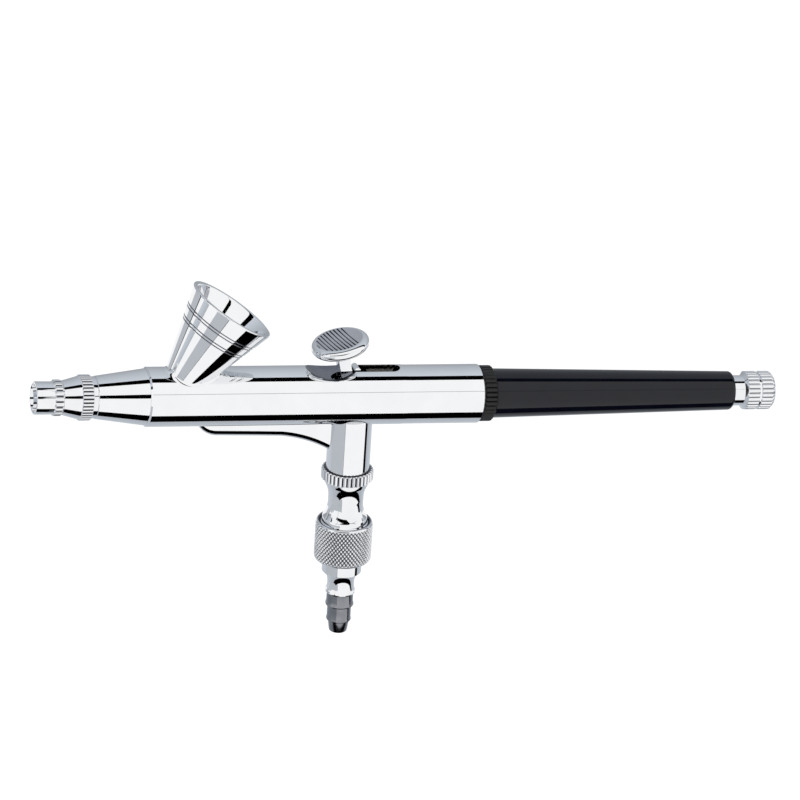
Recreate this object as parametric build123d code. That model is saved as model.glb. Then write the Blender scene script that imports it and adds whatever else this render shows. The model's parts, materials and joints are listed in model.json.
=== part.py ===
from build123d import *
import os
from math import cos, radians, sin

# Dual-action gravity-feed airbrush. Millimetres. The barrel lies along +X, nozzle to handle, and the paint
# cup and trigger are on the +Z side. The origin is where the air stem's axis meets the barrel's axis.

# --- Driving dimensions: barrel ---
BODY_R = 6.0
BODY_FRONT_X = -43.15
BODY_REAR_X = 26.3
BODY_FRONT_CHAMFER = 0.3
REAR_TUBE_R = 5.95
REAR_TUBE_X = 10.6
REAR_STEP_LENGTH = 0.8
NEEDLE_R = 0.6
NEEDLE_TIP_X = -63.9
NEEDLE_TAPER_X = -58.7
NEEDLE_END_X = 60.0
RUNNING_GAP = 0.05
THREAD_GAP = 0.02

# --- Driving dimensions: leaning parts ---
STEM_LEAN = 3.5
CUP_LEAN = 30.0
CUP_X = -37.96
TRIGGER_LEAN = 16.0

# --- Front end ---
HEAD_THREAD_R = 4.6
HEAD_THREAD_END_X = -40.6
HEAD_FRONT_X = -53.4
HEAD_FRONT_R = 4.3
HEAD_REAR_R = 5.7
SPIGOT_R = 3.28
SPIGOT_FRONT_X = -57.4
PAINT_BORE_R = 1.4
BORE_FLOOR_X = -39.8
NOZZLE_THREAD_R = 1.88
NOZZLE_TIP_X = -63.0
NOZZLE_TAPER_X = -57.3
NOZZLE_COLLAR_X = -58.2
NOZZLE_COLLAR_R = 2.05
NOZZLE_BORE_R = 1.0
NOZZLE_SHANK_END_X = -53.2
NOZZLE_SEAL_END_X = -52.6
AIR_HOLE_R = 0.45
AIR_HOLE_PITCH_R = 2.6
AIR_HOLES = 4
CAP_RING_X = -56.7
CAP_RING_END_X = -54.35
CAP_RING_R = 4.58
CAP_REAR_R = 4.2
CAP_CONE_FRONT_R = 3.4
CAP_CONE_REAR_R = 4.35
CAP_BORE_FRONT_X = -58.4
CAP_BORE_FRONT_R = 2.7
CAP_THROAT_R = 1.75
CAP_OPENING_R = 0.9
CAP_NOSE_R = 2.3
CAP_NOSE_X = -62.6
CAP_SHOULDER_X = -60.2
NEEDLE_CAP_X = -65.7
NEEDLE_CAP_R = 3.3
NEEDLE_CAP_BORE_R = 2.85
NEEDLE_CAP_RING_X = -62.0
NEEDLE_CAP_RING_R = 3.65

# --- Paint cup, measured along its own axis from the barrel's axis ---
CUP_BASE_S = 4.0
CUP_BASE_R = 3.79
CUP_RIM_S = 21.95
CUP_RIM_R = 9.25
CUP_MOUTH_R = 8.25
CUP_SPIGOT_R = 2.38
CUP_SPIGOT_S = 2.0
CUP_PASSAGE_R = 1.3

# --- Trigger opening in the barrel ---
SLOT_FRONT_X = -4.8
SLOT_REAR_X = 9.3
SLOT_WIDTH = 3.4
SCOOP_R = 7.2
SCOOP_X = -5.1
SCOOP_Z = 10.9
CAVITY_R = 2.9
CAVITY_FRONT_X = -3.0
REAR_BORE_R = 4.3
REAR_BORE_X = 9.0
PACKING_R = 2.2
PACKING_FRONT_X = -14.0
PACKING_REAR_X = -11.4
PACKING_SCREW_REAR_X = -7.2

# --- Air stem and valve, measured down the stem's own axis (negative is down) ---
STEM_R = 4.4
STEM_BOTTOM = -16.2
STEM_BORE_R = 3.3
STEM_BORE_TOP = -9.4
FOOT_WELL_R = 2.1
DUCT_R = 0.6
DUCT_Z = -4.1
DUCT_DROP_OFFSET = -2.95
VALVE_RING_R = 5.25
VALVE_RING_BOTTOM = -18.5
VALVE_WAIST_R = 3.58
VALVE_WAIST_Z = -22.9
VALVE_CHAMBER_R = 2.2
VALVE_SEAT_Z = -14.2
VALVE_THREAD_R = 4.86
VALVE_THREAD_TOP = -28.0
VALVE_BOTTOM = -32.8
VALVE_SHANK_R = 2.6
VALVE_SHANK_BOTTOM = -13.0
VALVE_LAND_BOTTOM = -11.4
VALVE_AIRWAY_R = 1.25
VALVE_CROSS_HOLE_Z = -12.3
VALVE_CHAMBER_BOTTOM = -24.0
VALVE_INLET_R = 1.5
PLUNGER_STEM_R = 0.65
PLUNGER_DISC_R = 1.7
PLUNGER_DISC_TOP = -14.75
PLUNGER_DISC_BOTTOM = -15.9
PLUNGER_TAIL_R = 0.8
PLUNGER_TAIL_BOTTOM = -17.4
GUIDE_SCREW_TOP = -21.6
GUIDE_SCREW_BOTTOM = -23.6
NUT_R = 5.8
NUT_TOP = -27.9
NUT_BOTTOM = -36.4
BARB_FLANGE_R = 4.75
BARB_COLLAR_R = 4.0
BARB_COLLAR_BOTTOM = -39.3
BARB_TIP = -52.9
BARB_BORE_R = 1.2
WASHER_THICKNESS = 0.5

# --- Gusset fin under the barrel ---
FIN_THICKNESS = 2.4
FIN_TIP_X = -31.2

# --- Trigger, measured in its own leaning frame from its pivot ---
PIVOT_DEPTH = -2.6
POST_THICKNESS = 2.4
POST_WIDTH = 3.0
FOOT_THICKNESS = 2.0
FOOT_WIDTH = 2.6
FORK_SLOT = 1.5
FORK_TOP = 6.4
TRIGGER_PIN_R = 0.4
BUTTON_R = 5.9
BUTTON_TOP = 15.35
BUTTON_RIM_R = 1.15
BUTTON_DISH = 0.2
BUTTON_UNDERSIDE = 2.7

# --- Auxiliary lever ---
LEVER_PIN_X = 2.25
LEVER_PIN_Z = -1.6
LEVER_PIN_R = 0.45
LEVER_THICKNESS = 1.3
LEVER_WIDTH = 2.6
LEVER_LENGTH = 8.3
LEVER_END_R = 0.85

# --- Needle carrier, spring and rear end ---
GUIDE_R = 2.4
GUIDE_FRONT_X = 1.3
GUIDE_FORK_END_X = 4.6
GUIDE_SHOULDER_X = 10.0
GUIDE_SHOULDER_END_X = 11.5
GUIDE_SHOULDER_R = 3.0
GUIDE_REAR_X = 41.0
CHUCK_NUT_X = 36.8
CHUCK_NUT_END_X = 45.0
CHUCK_NUT_R = 3.0
SPRING_R = 3.1
CASE_X = 15.2
CASE_END_X = 36.0
CASE_INNER_R = 3.4
CASE_WALL_X = 34.5
COLLAR_X = 26.4
COLLAR_END_X = 29.1
COLLAR_R = 5.65
HANDLE_END_X = 80.6
HANDLE_END_ROUND = 0.8
HANDLE_FRONT_R = 5.0
HANDLE_REAR_R = 3.95
HANDLE_THREAD_R = 3.97
HANDLE_THREAD_END_X = 36.8
HANDLE_BORE_R = 3.45
HANDLE_BORE_END_X = 69.5
HANDLE_RECESS_X = 76.5
HANDLE_RECESS_R = 3.2
LIMIT_SCREW_R = 1.5
LIMIT_GAP = 4.3
LIMIT_SCREW_END_X = 87.6
ORING_X = 77.7
ORING_THICKNESS = 1.0
ORING_R = 2.7
KNOB_NECK_X = 78.9
KNOB_SHOULDER_X = 82.85
KNOB_X = 83.4
KNOB_GROOVE_X = 85.85
KNOB_GROOVE_END_X = 86.4
KNOB_GRIP_END_X = 88.7
KNOB_END_X = 89.3
KNOB_END_R = 3.35
KNOB_R = 3.92

X_TO_Z = Rotation(0, -90, 0)
STEM = Rotation(0, -STEM_LEAN, 0)
CUP = Location((CUP_X, 0, 0)) * Rotation(0, CUP_LEAN, 0)
PIVOT = Vector(-sin(radians(STEM_LEAN)), 0, cos(radians(STEM_LEAN))) * PIVOT_DEPTH
TRIGGER = Location(PIVOT) * Rotation(0, -TRIGGER_LEAN, 0)
LEVER = Location((LEVER_PIN_X, 0, LEVER_PIN_Z)) * Rotation(0, -TRIGGER_LEAN, 0)


def turned(*corners):
    """Solid of revolution about X. A corner (x, r, (mx, mr)) is reached by an arc through (mx, mr)."""
    edges = []
    for start, end in zip(corners, corners[1:] + corners[:1]):
        a = Vector(start[0], start[1])
        b = Vector(end[0], end[1])
        if len(end) == 3:
            edges.append(Edge.make_three_point_arc(a, Vector(*end[2]), b))
        else:
            edges.append(Edge.make_line(a, b))
    return revolve(Face(Wire(edges)), Axis.X)


def rod(x0, x1, r):
    """Round bar along X."""
    return turned((x0, 0), (x0, r), (x1, r), (x1, 0))


def tube(x0, x1, r_out, r_in):
    """Plain ring or tube along X."""
    return turned((x0, r_in), (x0, r_out), (x1, r_out), (x1, r_in))


def stem_turned(*corners):
    """As turned, about the leaning stem axis; the first value of a corner is the height along it."""
    return STEM * X_TO_Z * turned(*corners)


def stem_rod(z0, z1, r):
    """Round bar along the stem axis."""
    return STEM * X_TO_Z * rod(z0, z1, r)


def block(x0, x1, width, z0, z1):
    """Box centred on y = 0 between the given X and Z limits."""
    size = Box(x1 - x0, width, z1 - z0)
    return Location(((x0 + x1) / 2, 0, (z0 + z1) / 2)) * size


def cross_pin(x, z, r, length):
    """Round bar along Y, centred on y = 0."""
    return Location((x, 0, z)) * Rotation(90, 0, 0) * Cylinder(r, length)


def barrel_solid():
    """The barrel's round outside, used to shape what is soldered to it."""
    return rod(BODY_FRONT_X, REAR_TUBE_X, BODY_R)


def duct_drop():
    """Air hole from the valve chamber's annulus up to the lengthwise duct."""
    hole = Location((DUCT_DROP_OFFSET, 0, (DUCT_Z + STEM_BORE_TOP) / 2)) * Cylinder(
        DUCT_R, DUCT_Z - STEM_BORE_TOP
    )
    return STEM * hole


def trigger_slot():
    """Lengthwise slot through the barrel's top, round at both ends."""
    half = SLOT_WIDTH / 2
    slot = block(SLOT_FRONT_X + half, SLOT_REAR_X - half, SLOT_WIDTH, 0, BODY_R + 1)
    for x in (SLOT_FRONT_X + half, SLOT_REAR_X - half):
        slot += Location((x, 0, (BODY_R + 1) / 2)) * Cylinder(half, BODY_R + 1)
    return slot


def main_body():
    body = turned(
        (BODY_FRONT_X, 0),
        (BODY_FRONT_X, BODY_R - BODY_FRONT_CHAMFER),
        (BODY_FRONT_X + BODY_FRONT_CHAMFER, BODY_R),
        (REAR_TUBE_X - REAR_STEP_LENGTH, BODY_R),
        (REAR_TUBE_X, REAR_TUBE_R),
        (BODY_REAR_X, REAR_TUBE_R),
        (BODY_REAR_X, 0),
    )
    body -= rod(BODY_FRONT_X, BORE_FLOOR_X, HEAD_THREAD_R + THREAD_GAP)
    body -= rod(BORE_FLOOR_X, CAVITY_FRONT_X, PAINT_BORE_R)
    body -= rod(PACKING_FRONT_X, CAVITY_FRONT_X, PACKING_R)
    body -= rod(CAVITY_FRONT_X, REAR_BORE_X, CAVITY_R)
    body -= rod(REAR_BORE_X, BODY_REAR_X, REAR_BORE_R)
    body -= trigger_slot()
    body -= Location((SCOOP_X, 0, SCOOP_Z)) * Sphere(SCOOP_R)
    body -= stem_rod(-BODY_R - 2, 0, FOOT_WELL_R)
    body -= Location((0, 0, DUCT_Z)) * rod(BORE_FLOOR_X - 0.4, DUCT_DROP_OFFSET, DUCT_R)
    body -= duct_drop()
    body -= CUP * X_TO_Z * rod(CUP_SPIGOT_S, BODY_R + 4, CUP_SPIGOT_R)
    body -= CUP * X_TO_Z * rod(0, CUP_SPIGOT_S, CUP_PASSAGE_R)
    return body


def head():
    """Front cone between the barrel and the nozzle cap, with a thread at each end."""
    cone = turned(
        (SPIGOT_FRONT_X, 0),
        (SPIGOT_FRONT_X, SPIGOT_R),
        (HEAD_FRONT_X, SPIGOT_R),
        (HEAD_FRONT_X, HEAD_FRONT_R),
        (BODY_FRONT_X, HEAD_REAR_R),
        (BODY_FRONT_X, HEAD_THREAD_R),
        (HEAD_THREAD_END_X, HEAD_THREAD_R),
        (HEAD_THREAD_END_X, 0),
    )
    cone -= rod(SPIGOT_FRONT_X, HEAD_THREAD_END_X, PAINT_BORE_R)
    cone -= rod(SPIGOT_FRONT_X, NOZZLE_SEAL_END_X, NOZZLE_THREAD_R + THREAD_GAP)
    for index in range(AIR_HOLES):
        hole = Location((0, 0, -AIR_HOLE_PITCH_R)) * rod(SPIGOT_FRONT_X, HEAD_THREAD_END_X, AIR_HOLE_R)
        cone -= Rotation(360 * index / AIR_HOLES, 0, 0) * hole
    return cone


def head_seal():
    return tube(HEAD_THREAD_END_X, BORE_FLOOR_X, 2.05, PAINT_BORE_R + 0.05)


def nozzle():
    """Fluid tip: threaded shank, collar and a fine cone with a tapered bore."""
    return turned(
        (NOZZLE_TIP_X, 0.15),
        (NOZZLE_TIP_X, 0.5),
        (NOZZLE_COLLAR_X, 1.8),
        (NOZZLE_COLLAR_X, NOZZLE_COLLAR_R),
        (SPIGOT_FRONT_X, NOZZLE_COLLAR_R),
        (SPIGOT_FRONT_X, NOZZLE_THREAD_R),
        (NOZZLE_SHANK_END_X, NOZZLE_THREAD_R),
        (NOZZLE_SHANK_END_X, NOZZLE_BORE_R),
        (NOZZLE_TAPER_X, NOZZLE_BORE_R),
    )


def nozzle_seal():
    return tube(NOZZLE_SHANK_END_X, NOZZLE_SEAL_END_X, NOZZLE_THREAD_R, NOZZLE_BORE_R - 0.1)


def nozzle_cap():
    """Air cap round the nozzle, with its grip ring and the thread that the needle cap sits on."""
    return turned(
        (CAP_NOSE_X, CAP_OPENING_R),
        (CAP_NOSE_X, CAP_NOSE_R),
        (CAP_SHOULDER_X, CAP_NOSE_R),
        (CAP_SHOULDER_X, CAP_CONE_FRONT_R),
        (CAP_RING_X, CAP_CONE_REAR_R),
        (CAP_RING_X, CAP_RING_R),
        (CAP_RING_END_X, CAP_RING_R),
        (CAP_RING_END_X, CAP_REAR_R),
        (HEAD_FRONT_X, CAP_REAR_R),
        (HEAD_FRONT_X, SPIGOT_R + THREAD_GAP),
        (CAP_BORE_FRONT_X, SPIGOT_R + THREAD_GAP),
        (CAP_BORE_FRONT_X, CAP_BORE_FRONT_R),
        (CAP_SHOULDER_X, CAP_THROAT_R),
    )


def needle_cap():
    """Open tube that guards the needle's point, with a grip ring at its back."""
    return turned(
        (NEEDLE_CAP_X, NEEDLE_CAP_BORE_R),
        (NEEDLE_CAP_X, NEEDLE_CAP_R - 0.1),
        (NEEDLE_CAP_X + 0.1, NEEDLE_CAP_R),
        (NEEDLE_CAP_RING_X, NEEDLE_CAP_R),
        (NEEDLE_CAP_RING_X, NEEDLE_CAP_RING_R),
        (CAP_SHOULDER_X, NEEDLE_CAP_RING_R),
        (CAP_SHOULDER_X, CAP_NOSE_R + THREAD_GAP),
        (CAP_NOSE_X, CAP_NOSE_R + THREAD_GAP),
        (CAP_NOSE_X, NEEDLE_CAP_BORE_R),
    )


def paint_cup():
    """Conical gravity cup; its spigot is soldered into the barrel, and paint runs down its passage."""
    cup = CUP * X_TO_Z * turned(
        (CUP_BASE_S - 2, 0),
        (CUP_BASE_S - 2, CUP_BASE_R - 0.61),
        (CUP_RIM_S - 0.25, CUP_RIM_R - 0.08),
        (CUP_RIM_S, CUP_RIM_R - 0.3),
        (CUP_RIM_S, 0),
    )
    cup -= barrel_solid()
    cup += CUP * X_TO_Z * rod(CUP_SPIGOT_S, CUP_BASE_S + 3, CUP_SPIGOT_R)
    cup -= CUP * X_TO_Z * turned(
        (CUP_SPIGOT_S, 0),
        (CUP_SPIGOT_S, CUP_PASSAGE_R),
        (5.6, CUP_PASSAGE_R),
        (7.2, 2.9),
        (CUP_RIM_S - 0.4, CUP_MOUTH_R - 0.2),
        (CUP_RIM_S, CUP_MOUTH_R),
        (CUP_RIM_S, 0),
    )
    return cup


def gusset_fin():
    """Plate under the barrel that braces the air stem, deeper where it meets the stem."""
    outline = [
        Edge.make_line(Vector(FIN_TIP_X, 0, -4.5), Vector(FIN_TIP_X, 0, -6.6)),
        Edge.make_three_point_arc(Vector(FIN_TIP_X, 0, -6.6), Vector(-30, 0, -8.0), Vector(-27.6, 0, -8.6)),
        Edge.make_line(Vector(-27.6, 0, -8.6), Vector(-14.0, 0, -8.9)),
        Edge.make_three_point_arc(Vector(-14.0, 0, -8.9), Vector(-8.4, 0, -9.95), Vector(-3.8, 0, -12.0)),
        Edge.make_line(Vector(-3.8, 0, -12.0), Vector(-3.0, 0, -4.5)),
        Edge.make_line(Vector(-3.0, 0, -4.5), Vector(FIN_TIP_X, 0, -4.5)),
    ]
    return extrude(Face(Wire(outline)), FIN_THICKNESS / 2, dir=(0, 1, 0), both=True)


def air_stem():
    """Threaded socket for the valve, with its gusset fin, soldered under the barrel."""
    stem = stem_rod(STEM_BOTTOM, 0, STEM_R)
    stem += gusset_fin()
    stem -= barrel_solid()
    stem -= stem_rod(STEM_BOTTOM, STEM_BORE_TOP, STEM_BORE_R)
    stem -= stem_rod(STEM_BORE_TOP, 0, FOOT_WELL_R)
    stem -= duct_drop()
    return stem


def needle_packing():
    return tube(PACKING_FRONT_X, PACKING_REAR_X, PACKING_R - THREAD_GAP, NEEDLE_R + THREAD_GAP)


def packing_screw():
    """Hollow screw that squeezes the needle packing, with a screwdriver slot."""
    screw = tube(PACKING_REAR_X, PACKING_SCREW_REAR_X, PACKING_R - THREAD_GAP, NEEDLE_R + 0.2)
    slot_depth = 0.8
    return screw - block(PACKING_SCREW_REAR_X - slot_depth, PACKING_SCREW_REAR_X, 0.7, -3, 3)


def valve_body():
    """Air valve housing: screws into the stem, and its lower thread takes the hose coupling."""
    valve = stem_turned(
        (STEM_BORE_TOP, 0),
        (STEM_BORE_TOP, VALVE_SHANK_R),
        (VALVE_SHANK_BOTTOM, VALVE_SHANK_R),
        (VALVE_SHANK_BOTTOM, STEM_BORE_R - THREAD_GAP),
        (STEM_BOTTOM, STEM_BORE_R - THREAD_GAP),
        (STEM_BOTTOM, VALVE_RING_R - 0.2),
        (STEM_BOTTOM - 0.2, VALVE_RING_R),
        (VALVE_RING_BOTTOM + 0.2, VALVE_RING_R),
        (VALVE_RING_BOTTOM, VALVE_RING_R - 0.2),
        (VALVE_RING_BOTTOM, 4.3),
        (-19.6, 4.3),
        (VALVE_WAIST_Z, VALVE_WAIST_R, (-20.9, 3.75)),
        (-26.9, 4.55, (-25.2, 3.86)),
        (-27.6, 4.55),
        (VALVE_THREAD_TOP, VALVE_THREAD_R),
        (VALVE_BOTTOM, VALVE_THREAD_R),
        (VALVE_BOTTOM, 0),
    )
    valve -= stem_rod(VALVE_LAND_BOTTOM, STEM_BORE_TOP, PLUNGER_STEM_R + RUNNING_GAP)
    valve -= stem_rod(VALVE_SEAT_Z, VALVE_LAND_BOTTOM, VALVE_AIRWAY_R)
    valve -= stem_rod(VALVE_CHAMBER_BOTTOM, VALVE_SEAT_Z, VALVE_CHAMBER_R)
    valve -= stem_rod(VALVE_BOTTOM, VALVE_CHAMBER_BOTTOM, VALVE_INLET_R)
    for turn in (0, 90):
        hole = Rotation(90, 0, turn) * Cylinder(DUCT_R, 2 * VALVE_SHANK_R + 0.2)
        valve -= STEM * Location((0, 0, VALVE_CROSS_HOLE_Z)) * hole
    return valve


def valve_guide_screw():
    """Hollow screw that holds the valve spring up."""
    bore_r = 0.7
    thread_r = VALVE_CHAMBER_R - THREAD_GAP
    return stem_turned(
        (GUIDE_SCREW_BOTTOM, bore_r),
        (GUIDE_SCREW_TOP, bore_r),
        (GUIDE_SCREW_TOP, thread_r),
        (GUIDE_SCREW_BOTTOM, thread_r),
    )


def valve_plunger():
    """Valve rod: the trigger's pin goes through its top, and its disc shuts the air off."""
    plunger = stem_turned(
        (PIVOT_DEPTH + 0.75, 0),
        (PIVOT_DEPTH + 0.75, PLUNGER_STEM_R - 0.2),
        (PIVOT_DEPTH + 0.5, PLUNGER_STEM_R),
        (PLUNGER_DISC_TOP, PLUNGER_STEM_R),
        (PLUNGER_DISC_TOP, PLUNGER_DISC_R),
        (PLUNGER_DISC_BOTTOM, PLUNGER_DISC_R),
        (PLUNGER_DISC_BOTTOM, PLUNGER_TAIL_R),
        (PLUNGER_TAIL_BOTTOM, PLUNGER_TAIL_R),
        (PLUNGER_TAIL_BOTTOM, 0),
    )
    return plunger - cross_pin(PIVOT.X, PIVOT.Z, TRIGGER_PIN_R, 4)


def plunger_seal():
    seal_r = PLUNGER_DISC_R + 0.05
    return stem_turned(
        (PLUNGER_DISC_TOP, PLUNGER_STEM_R),
        (VALVE_SEAT_Z, PLUNGER_STEM_R),
        (VALVE_SEAT_Z, seal_r),
        (PLUNGER_DISC_TOP, seal_r),
    )


def valve_spring():
    """Plain tube with the valve spring's outline."""
    inner_r = 1.1
    outer_r = 1.6
    return stem_turned(
        (GUIDE_SCREW_TOP, inner_r),
        (PLUNGER_DISC_BOTTOM, inner_r),
        (PLUNGER_DISC_BOTTOM, outer_r),
        (GUIDE_SCREW_TOP, outer_r),
    )


def trigger_pin():
    return cross_pin(PIVOT.X, PIVOT.Z, TRIGGER_PIN_R, FOOT_WIDTH - 0.1)


def button():
    """Finger button: shallow dish in the top, fully round rim and a coned underside."""
    rim_z = BUTTON_TOP - BUTTON_RIM_R
    face_r = BUTTON_R - BUTTON_RIM_R
    diagonal = BUTTON_RIM_R * cos(radians(45))
    underside_z = BUTTON_TOP - BUTTON_UNDERSIDE
    return X_TO_Z * turned(
        (BUTTON_TOP - BUTTON_DISH, 0),
        (BUTTON_TOP, face_r, (BUTTON_TOP - 0.74 * BUTTON_DISH, face_r / 2)),
        (rim_z, BUTTON_R, (rim_z + diagonal, face_r + diagonal)),
        (rim_z - BUTTON_RIM_R, face_r, (rim_z - diagonal, face_r + diagonal)),
        (underside_z, POST_WIDTH / 2, (underside_z + 0.12, 3.0)),
        (underside_z, 0),
    )


def trigger():
    """Post, forked foot and button. The needle and the valve rod pass through the fork."""
    foot_r = FOOT_THICKNESS / 2
    post = block(-POST_THICKNESS / 2, POST_THICKNESS / 2, POST_WIDTH, 2.2, BUTTON_TOP - BUTTON_UNDERSIDE + 1)
    post += block(-foot_r, foot_r, FOOT_WIDTH, 0, 2.6)
    post += cross_pin(0, 0, foot_r, FOOT_WIDTH)
    post -= block(-2, 2, FORK_SLOT, -2, FORK_TOP)
    post -= cross_pin(0, 0, TRIGGER_PIN_R + RUNNING_GAP, 4)
    return TRIGGER * (post + button())


def auxiliary_lever():
    """Plate behind the trigger, pinned to the needle carrier, which the trigger pushes back."""
    half = LEVER_THICKNESS / 2
    top_z = LEVER_LENGTH - half
    lever = block(-half, half, LEVER_WIDTH, 0, top_z)
    lever += cross_pin(0, 0, LEVER_END_R, LEVER_WIDTH)
    lever += cross_pin(0, top_z, half, LEVER_WIDTH)
    lever -= block(-2, 2, FORK_SLOT, LEVER_END_R, 3.4)
    lever -= cross_pin(0, 0, LEVER_PIN_R + RUNNING_GAP, 4)
    return LEVER * lever


def lever_pin():
    return cross_pin(LEVER_PIN_X, LEVER_PIN_Z, LEVER_PIN_R, 3.6)


def needle():
    """Long needle with a fine taper at the point."""
    return turned(
        (NEEDLE_TIP_X, 0),
        (NEEDLE_TIP_X, 0.02),
        (NEEDLE_TAPER_X, NEEDLE_R),
        (NEEDLE_END_X - 0.3, NEEDLE_R),
        (NEEDLE_END_X, NEEDLE_R - 0.3),
        (NEEDLE_END_X, 0),
    )


def needle_chuck_guide():
    """Needle carrier: a fork for the lever, a shoulder for the spring and a tube for the chuck nut."""
    guide = turned(
        (GUIDE_FRONT_X, 0),
        (GUIDE_FRONT_X, 2.5),
        (GUIDE_FORK_END_X, 2.5),
        (GUIDE_FORK_END_X, GUIDE_R),
        (GUIDE_SHOULDER_X, GUIDE_R),
        (GUIDE_SHOULDER_X, GUIDE_SHOULDER_R),
        (GUIDE_SHOULDER_END_X, GUIDE_SHOULDER_R),
        (GUIDE_SHOULDER_END_X, GUIDE_R),
        (GUIDE_REAR_X - 1, GUIDE_R),
        (GUIDE_REAR_X, 1.6),
        (GUIDE_REAR_X, 0),
    )
    guide -= rod(GUIDE_FRONT_X, GUIDE_REAR_X, NEEDLE_R + THREAD_GAP)
    guide -= block(GUIDE_FRONT_X, GUIDE_FORK_END_X, LEVER_WIDTH + 0.2, -3, 3)
    guide -= cross_pin(LEVER_PIN_X, LEVER_PIN_Z, LEVER_PIN_R, 6)
    guide -= block(GUIDE_REAR_X - 6, GUIDE_REAR_X, 0.4, -3, 3)
    return guide


def needle_chuck_nut():
    """Knurled nut that clamps the needle in its carrier."""
    return turned(
        (CHUCK_NUT_X, GUIDE_R + THREAD_GAP),
        (CHUCK_NUT_X, CHUCK_NUT_R),
        (CHUCK_NUT_END_X - 0.6, CHUCK_NUT_R),
        (CHUCK_NUT_END_X, CHUCK_NUT_R - 0.6),
        (CHUCK_NUT_END_X, NEEDLE_R + THREAD_GAP),
        (GUIDE_REAR_X + 0.3, NEEDLE_R + THREAD_GAP),
        (GUIDE_REAR_X + 0.3, 1.65),
        (GUIDE_REAR_X - 0.9, GUIDE_R + THREAD_GAP),
    )


def needle_spring():
    """Plain tube with the needle spring's outline."""
    return tube(GUIDE_SHOULDER_END_X, CASE_WALL_X, SPRING_R, GUIDE_R + 0.2)


def spring_case():
    """Tube screwed into the barrel's back; it houses the spring and carries the handle."""
    return turned(
        (CASE_X, CASE_INNER_R),
        (CASE_X, REAR_BORE_R - THREAD_GAP),
        (BODY_REAR_X, REAR_BORE_R - THREAD_GAP),
        (BODY_REAR_X, HANDLE_THREAD_R - THREAD_GAP),
        (CASE_END_X, HANDLE_THREAD_R - THREAD_GAP),
        (CASE_END_X, GUIDE_R + RUNNING_GAP),
        (CASE_WALL_X, GUIDE_R + RUNNING_GAP),
        (CASE_WALL_X, CASE_INNER_R),
    )


def handle_collar():
    """Knurled black ring between barrel and handle."""
    chamfer = 0.25
    return turned(
        (COLLAR_X, HANDLE_THREAD_R),
        (COLLAR_X, COLLAR_R - chamfer),
        (COLLAR_X + chamfer, COLLAR_R),
        (COLLAR_END_X - chamfer, COLLAR_R),
        (COLLAR_END_X, COLLAR_R - chamfer),
        (COLLAR_END_X, HANDLE_THREAD_R),
    )


def handle():
    """Tapered hollow handle with a threaded web for the limit screw and a recess for its knob."""
    return turned(
        (COLLAR_END_X, HANDLE_THREAD_R),
        (COLLAR_END_X, HANDLE_FRONT_R),
        (HANDLE_END_X - HANDLE_END_ROUND, HANDLE_REAR_R),
        (HANDLE_END_X, HANDLE_REAR_R - 0.45, (HANDLE_END_X - 0.2, HANDLE_REAR_R - 0.12)),
        (HANDLE_END_X, HANDLE_RECESS_R + 0.15),
        (HANDLE_END_X - 0.4, HANDLE_RECESS_R),
        (HANDLE_RECESS_X, HANDLE_RECESS_R),
        (HANDLE_RECESS_X, LIMIT_SCREW_R + RUNNING_GAP),
        (HANDLE_BORE_END_X, LIMIT_SCREW_R + RUNNING_GAP),
        (HANDLE_BORE_END_X, HANDLE_BORE_R),
        (HANDLE_THREAD_END_X, HANDLE_BORE_R),
        (HANDLE_THREAD_END_X, HANDLE_THREAD_R),
    )


def limit_screw():
    """Screw through the handle's end whose tip stops the needle's back end."""
    tip_x = NEEDLE_END_X + LIMIT_GAP
    chamfer = 0.4
    return turned(
        (tip_x, 0),
        (tip_x, LIMIT_SCREW_R - chamfer),
        (tip_x + chamfer, LIMIT_SCREW_R),
        (LIMIT_SCREW_END_X, LIMIT_SCREW_R),
        (LIMIT_SCREW_END_X, 0),
    )


def limit_oring():
    return tube(ORING_X, ORING_X + ORING_THICKNESS, ORING_R, LIMIT_SCREW_R + RUNNING_GAP)


def limit_knob():
    """Knob on the limit screw: a neck that enters the handle, a shoulder and a grooved grip."""
    neck_r = HANDLE_RECESS_R - 0.1
    groove_r = KNOB_R - 0.35
    return turned(
        (KNOB_NECK_X, LIMIT_SCREW_R),
        (KNOB_NECK_X, neck_r),
        (KNOB_SHOULDER_X, neck_r),
        (KNOB_X, KNOB_R),
        (KNOB_GROOVE_X, KNOB_R),
        (KNOB_GROOVE_X, groove_r),
        (KNOB_GROOVE_END_X, groove_r),
        (KNOB_GROOVE_END_X, KNOB_R),
        (KNOB_GRIP_END_X, KNOB_R),
        (KNOB_END_X, KNOB_END_R),
        (KNOB_END_X, 0),
        (LIMIT_SCREW_END_X, 0),
        (LIMIT_SCREW_END_X, LIMIT_SCREW_R),
    )


def coupling_nut():
    """Hose coupling nut: threads on the valve and traps the barb's flange."""
    chamfer = 0.3
    flange_top = VALVE_BOTTOM - WASHER_THICKNESS
    flange_bottom = flange_top - 1.2
    return stem_turned(
        (NUT_TOP, VALVE_THREAD_R + 0.14),
        (NUT_TOP, NUT_R - chamfer),
        (NUT_TOP - chamfer, NUT_R),
        (NUT_BOTTOM + chamfer, NUT_R),
        (NUT_BOTTOM, NUT_R - chamfer),
        (NUT_BOTTOM, BARB_COLLAR_R + RUNNING_GAP),
        (flange_bottom - RUNNING_GAP, BARB_COLLAR_R + RUNNING_GAP),
        (flange_bottom - RUNNING_GAP, VALVE_THREAD_R + RUNNING_GAP),
        (NUT_TOP - 0.2, VALVE_THREAD_R + RUNNING_GAP),
    )


def barb_washer():
    top = VALVE_BOTTOM
    bottom = VALVE_BOTTOM - WASHER_THICKNESS
    return stem_turned((bottom, 1.6), (top, 1.6), (top, 4.5), (bottom, 4.5))


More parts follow.
